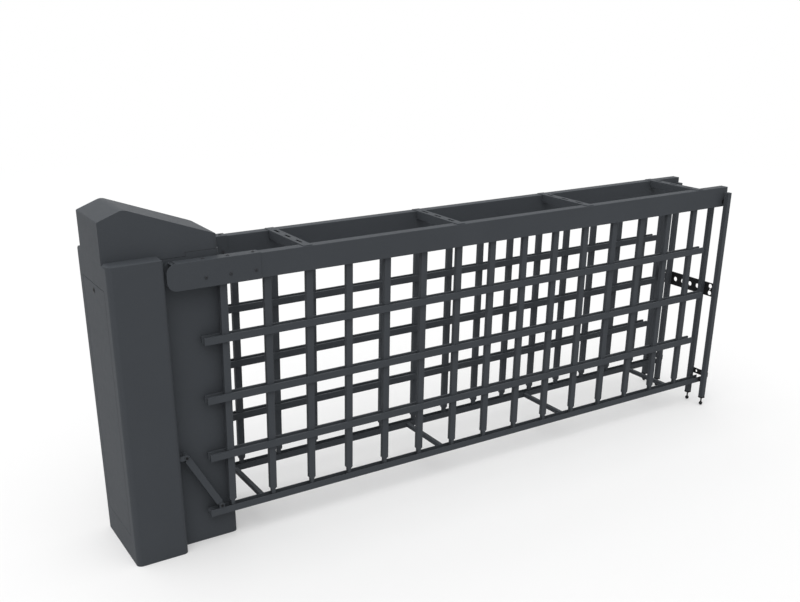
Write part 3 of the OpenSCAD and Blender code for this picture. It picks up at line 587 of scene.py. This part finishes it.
def add_link_bolts():
    """Socket bolts in the upper and lower pivots of the drag links."""
    bolt_r, bolt_h = 0.0062, 0.0022
    middle = boom_middle()
    for node, body in (("link_brackets", "cabinet"), ("link_lugs", "bottom_rail")):
        bm = bmesh.new()
        for low, high in islands(node):
            if node == "link_brackets":
                x = high.x - (high.z - low.z) / 2
                z = (high.z + low.z) / 2
            else:
                x = (high.x + low.x) / 2
                z = high.z - (high.x - low.x) / 2
            panel = middle if low.y > 0 else -middle
            for side, y in ((-1, low.y), (1, high.y)):
                if (y - panel) * side > abs(low.y - high.y) / 4:
                    socket_bolt(bm, standing(Vector((x, y, z)), Vector((0, side, 0))), bolt_r, bolt_h)
        add_piece(node + "_bolts", bm, "dark_steel", body)


def add_drive_bolts():
    """Bolts in the bearing flanges, screws in the controller's lid and nuts on the stand's feet."""
    bm = bmesh.new()

    flange, inset, head_r, head_h = 0.012, 0.013, 0.0065, 0.005
    for low, high in islands("shaft_bearings"):
        inward = -math.copysign(1, low.y)
        face = (high.y if low.y > 0 else low.y) + inward * flange
        for x in (low.x + inset, high.x - inset):
            for z in (low.z + inset, high.z - inset):
                socket_bolt(bm, standing(Vector((x, face, z)), Vector((0, inward, 0))), head_r, head_h)

    side, below, above, screw_r, screw_h = 0.026, 0.045, 0.025, 0.0038, 0.0018
    case_low, case_high = (Vector(corner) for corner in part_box("controller_box"))
    for y in (case_low.y + side, case_high.y - side):
        for z in (case_low.z + below, case_high.z - above):
            socket_bolt(bm, standing(Vector((case_low.x, y, z)), Vector((-1, 0, 0))), screw_r, screw_h)

    foot_r, foot_h, foot_in = 0.009, 0.007, 0.03
    stand_low, stand_high = (Vector(corner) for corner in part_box("drive_stand"))
    bearing_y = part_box("shaft_bearings")[1][1]
    # The stand's plates are as thick as the step from the bearings' seat to the controller's side
    foot_top = stand_low.z + case_high.y - bearing_y
    foot_y = (case_high.y + stand_high.y) / 2
    for x in (stand_low.x + foot_in, stand_high.x - foot_in):
        for y in (-foot_y, foot_y):
            hex_nut(bm, standing(Vector((x, y, foot_top)), Vector((0, 0, 1))), foot_r, foot_h)

    add_piece("drive_fasteners", bm, "bright_steel", "cabinet")


def add_lock_plug():
    """Dark key plug in the lock's round face."""
    plug_r, rim_h, top_r, top_h = 0.0062, 0.0005, 0.0056, 0.0009
    slot_half, slot_w = 0.0042, 0.002
    floor_half, floor_w, floor_h = 0.0041, 0.0018, 0.0001
    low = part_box("door_lock")[0]
    joint = next(j for j in record["behaviour"]["joints"] if j["name"] == "lock_turn")
    face = Vector((low[0], joint["pos_m"][1], joint["pos_m"][2]))
    rings = [circle(plug_r, 0), circle(plug_r, rim_h), circle(top_r, top_h)]
    rings += [stadium(slot_half, slot_w, top_h), stadium(floor_half, floor_w, floor_h)]
    bm = bmesh.new()
    loft(bm, rings, standing(face, Vector((-1, 0, 0))))
    add_piece("lock_plug", bm, "dark_steel", "lock")


# Balance springs


def swept(points, radius):
    """Mesh of a round wire along a row of points."""
    data = bpy.data.curves.new("wire", "CURVE")
    data.dimensions = "3D"
    data.bevel_depth = radius
    data.bevel_resolution = 3
    data.use_fill_caps = True
    spline = data.splines.new("POLY")
    spline.points.add(len(points) - 1)
    for target, point in zip(spline.points, points):
        target.co = (*point, 1)
    wire = bpy.data.objects.new("wire", data)
    scene.collection.objects.link(wire)
    mesh = bpy.data.meshes.new_from_object(wire.evaluated_get(bpy.context.evaluated_depsgraph_get()))
    bpy.data.objects.remove(wire)
    return mesh


def hook(bore, wire, rise):
    """Half-open eye round a pin, in the XZ plane, that bends up to the spring's axis."""
    first, last = math.radians(50), math.radians(-235)
    eye_steps, bend_steps = 30, 12
    radius = bore + wire
    turns = [first + (last - first) * i / eye_steps for i in range(eye_steps + 1)]
    eye = [Vector((radius * math.cos(a), 0, radius * math.sin(a))) for a in turns]
    start, end = eye[-1], Vector((0, 0, rise))
    out, up = Vector((math.sin(last), 0, -math.cos(last))) * radius, Vector((0, 0, radius))
    bend = []
    for i in range(1, bend_steps + 1):
        t = i / bend_steps
        h = (2 * t**3 - 3 * t**2 + 1, t**3 - 2 * t**2 + t, 3 * t**2 - 2 * t**3, t**3 - t**2)
        bend.append(start * h[0] + out * h[1] + end * h[2] + up * h[3])
    return eye + bend


def coil(x, y, low, high):
    """Points of the winding round an upright axis, drawn in to the axis at both ends."""
    coil_r, per_turn, turns, taper = 0.0172, 22, 38, 1.2
    count = per_turn * turns
    points = []
    for i in range(count + 1):
        turn = i / per_turn
        spread = min(1.0, turn / taper, (turns - turn) / taper)
        r = coil_r * math.sin(spread * math.pi / 2)
        a = 2 * math.pi * turn
        points.append(Vector((x + r * math.cos(a), y + r * math.sin(a), low + (high - low) * i / count)))
    return points


def add_springs():
    """Wound balance springs between the lever's pin and the anchor rod, drawn at their rest length; they
    ride on the cabinet and don't shorten as the booms rise.
    """
    wire, neck, lead = 0.0034, 0.024, 0.002
    lever_bore, rod_bore, eye_r = 0.0102, 0.0127, 0.023
    anchor_low, anchor_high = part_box("spring_anchor")
    lower_z = (anchor_low[2] + anchor_high[2]) / 2
    for number, (low, high) in enumerate(islands("balance_springs"), 1):
        upper_z = high.z - eye_r
        x, y = (low.x + high.x) / 2, (low.y + high.y) / 2
        bottom = Vector((x, y, lower_z))
        top = Vector((x, y, upper_z))
        path = [bottom + point for point in hook(rod_bore, wire, neck)]
        path += coil(x, y, lower_z + neck + lead, upper_z - neck - lead)
        path += [top + Vector((-p.x, p.y, -p.z)) for p in reversed(hook(lever_bore, wire, neck))]
        piece = bpy.data.objects.new("balance_spring_%d" % number, swept(path, wire))
        scene.collection.objects.link(piece)
        for face in piece.data.polygons:
            face.use_smooth = True
        settle(piece, "spring_steel", "cabinet", "balance_springs")
        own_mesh(piece)


# Stage and light


def seen_rays(tree):
    """Socket that is 1 for what the camera sees, also in gloss and through glass."""
    path = tree.nodes.new("ShaderNodeLightPath")
    seen = path.outputs["Is Camera Ray"]
    for ray in ("Is Glossy Ray", "Is Transmission Ray"):
        either = tree.nodes.new("ShaderNodeMath")
        either.operation = "MAXIMUM"
        tree.links.new(seen, either.inputs[0])
        tree.links.new(path.outputs[ray], either.inputs[1])
        seen = either.outputs["Value"]
    return seen


def add_floor():
    """Pale floor that fades into the white background away from the object."""
    bpy.ops.mesh.primitive_plane_add(size=FLOOR_SIZE, location=FLOOR_AT)
    floor = bpy.context.object
    floor.name = "floor"
    s = Shader("pale_floor")
    s.fixed(Roughness=0.7, Specular_IOR_Level=0.2)
    seen = seen_rays(s.tree)
    s.colour(s.ranged(seen, 0, 1, FLOOR_BOUNCE, FLOOR_TONE))
    glow = s.add("ShaderNodeEmission")
    fade = s.add("ShaderNodeMixShader")
    place = s.add("ShaderNodeTexCoord").outputs["Object"]
    away = s.add("ShaderNodeVectorMath", operation="LENGTH")
    s.link(place, away.inputs[0])
    white = s.ranged(away.outputs["Value"], FADE_FROM, FADE_TO, FLOOR_LIFT, 1.0)
    s.link(s.times(white, seen), fade.inputs["Fac"])
    s.link(s.surface.outputs["BSDF"], fade.inputs[1])
    s.link(glow.outputs["Emission"], fade.inputs[2])
    s.link(fade.outputs["Shader"], s.output.inputs["Surface"])
    floor.data.materials.append(s.material)


def add_world():
    """Soft even light, with a white background for what the camera, gloss and glass see."""
    world = bpy.data.worlds.new("studio")
    world.use_nodes = True
    scene.world = world
    tree = world.node_tree
    soft = tree.nodes["Background"]
    white = tree.nodes.new("ShaderNodeBackground")
    for background, strength in ((soft, AMBIENT), (white, 1.0)):
        background.inputs["Color"].default_value = (1, 1, 1, 1)
        background.inputs["Strength"].default_value = strength
    mix = tree.nodes.new("ShaderNodeMixShader")
    tree.links.new(seen_rays(tree), mix.inputs["Fac"])
    tree.links.new(soft.outputs["Background"], mix.inputs[1])
    tree.links.new(white.outputs["Background"], mix.inputs[2])
    tree.links.new(mix.outputs["Shader"], tree.nodes["World Output"].inputs["Surface"])


def add_sun(name, toward, softness, strength):
    """Wide soft lamp from one direction, with the softness in degrees."""
    data = bpy.data.lights.new(name, "SUN")
    data.angle = math.radians(softness)
    data.energy = strength
    lamp = bpy.data.objects.new(name, data)
    lamp.rotation_euler = Vector(toward).to_track_quat("Z", "Y").to_euler()
    scene.collection.objects.link(lamp)


# Build the scene

for name, node in nodes.items():
    dress(node, slot_of[name])

for width, names in SOFT_EDGES:
    for name in names:
        soften(name, width, OTHER_SLOT.get(name))

# The shell is rounded below the hood only. The hood keeps the CAD's edges, as none of them is below 0
soften("cabinet_shell", COLUMN_ROUND, top=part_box("top_hood")[0][2])
# The hood's seam gap gets painted shade
paint_seam_shade(soften("top_hood", COLUMN_ROUND, top=0))

add_holder_bolts()
add_link_bolts()
add_drive_bolts()
add_lock_plug()
add_springs()

add_camera()
add_floor()
add_world()
add_sun("key", *KEY_LAMP)
add_sun("fill", *FILL_LAMP)

scene.view_settings.view_transform = "Standard"
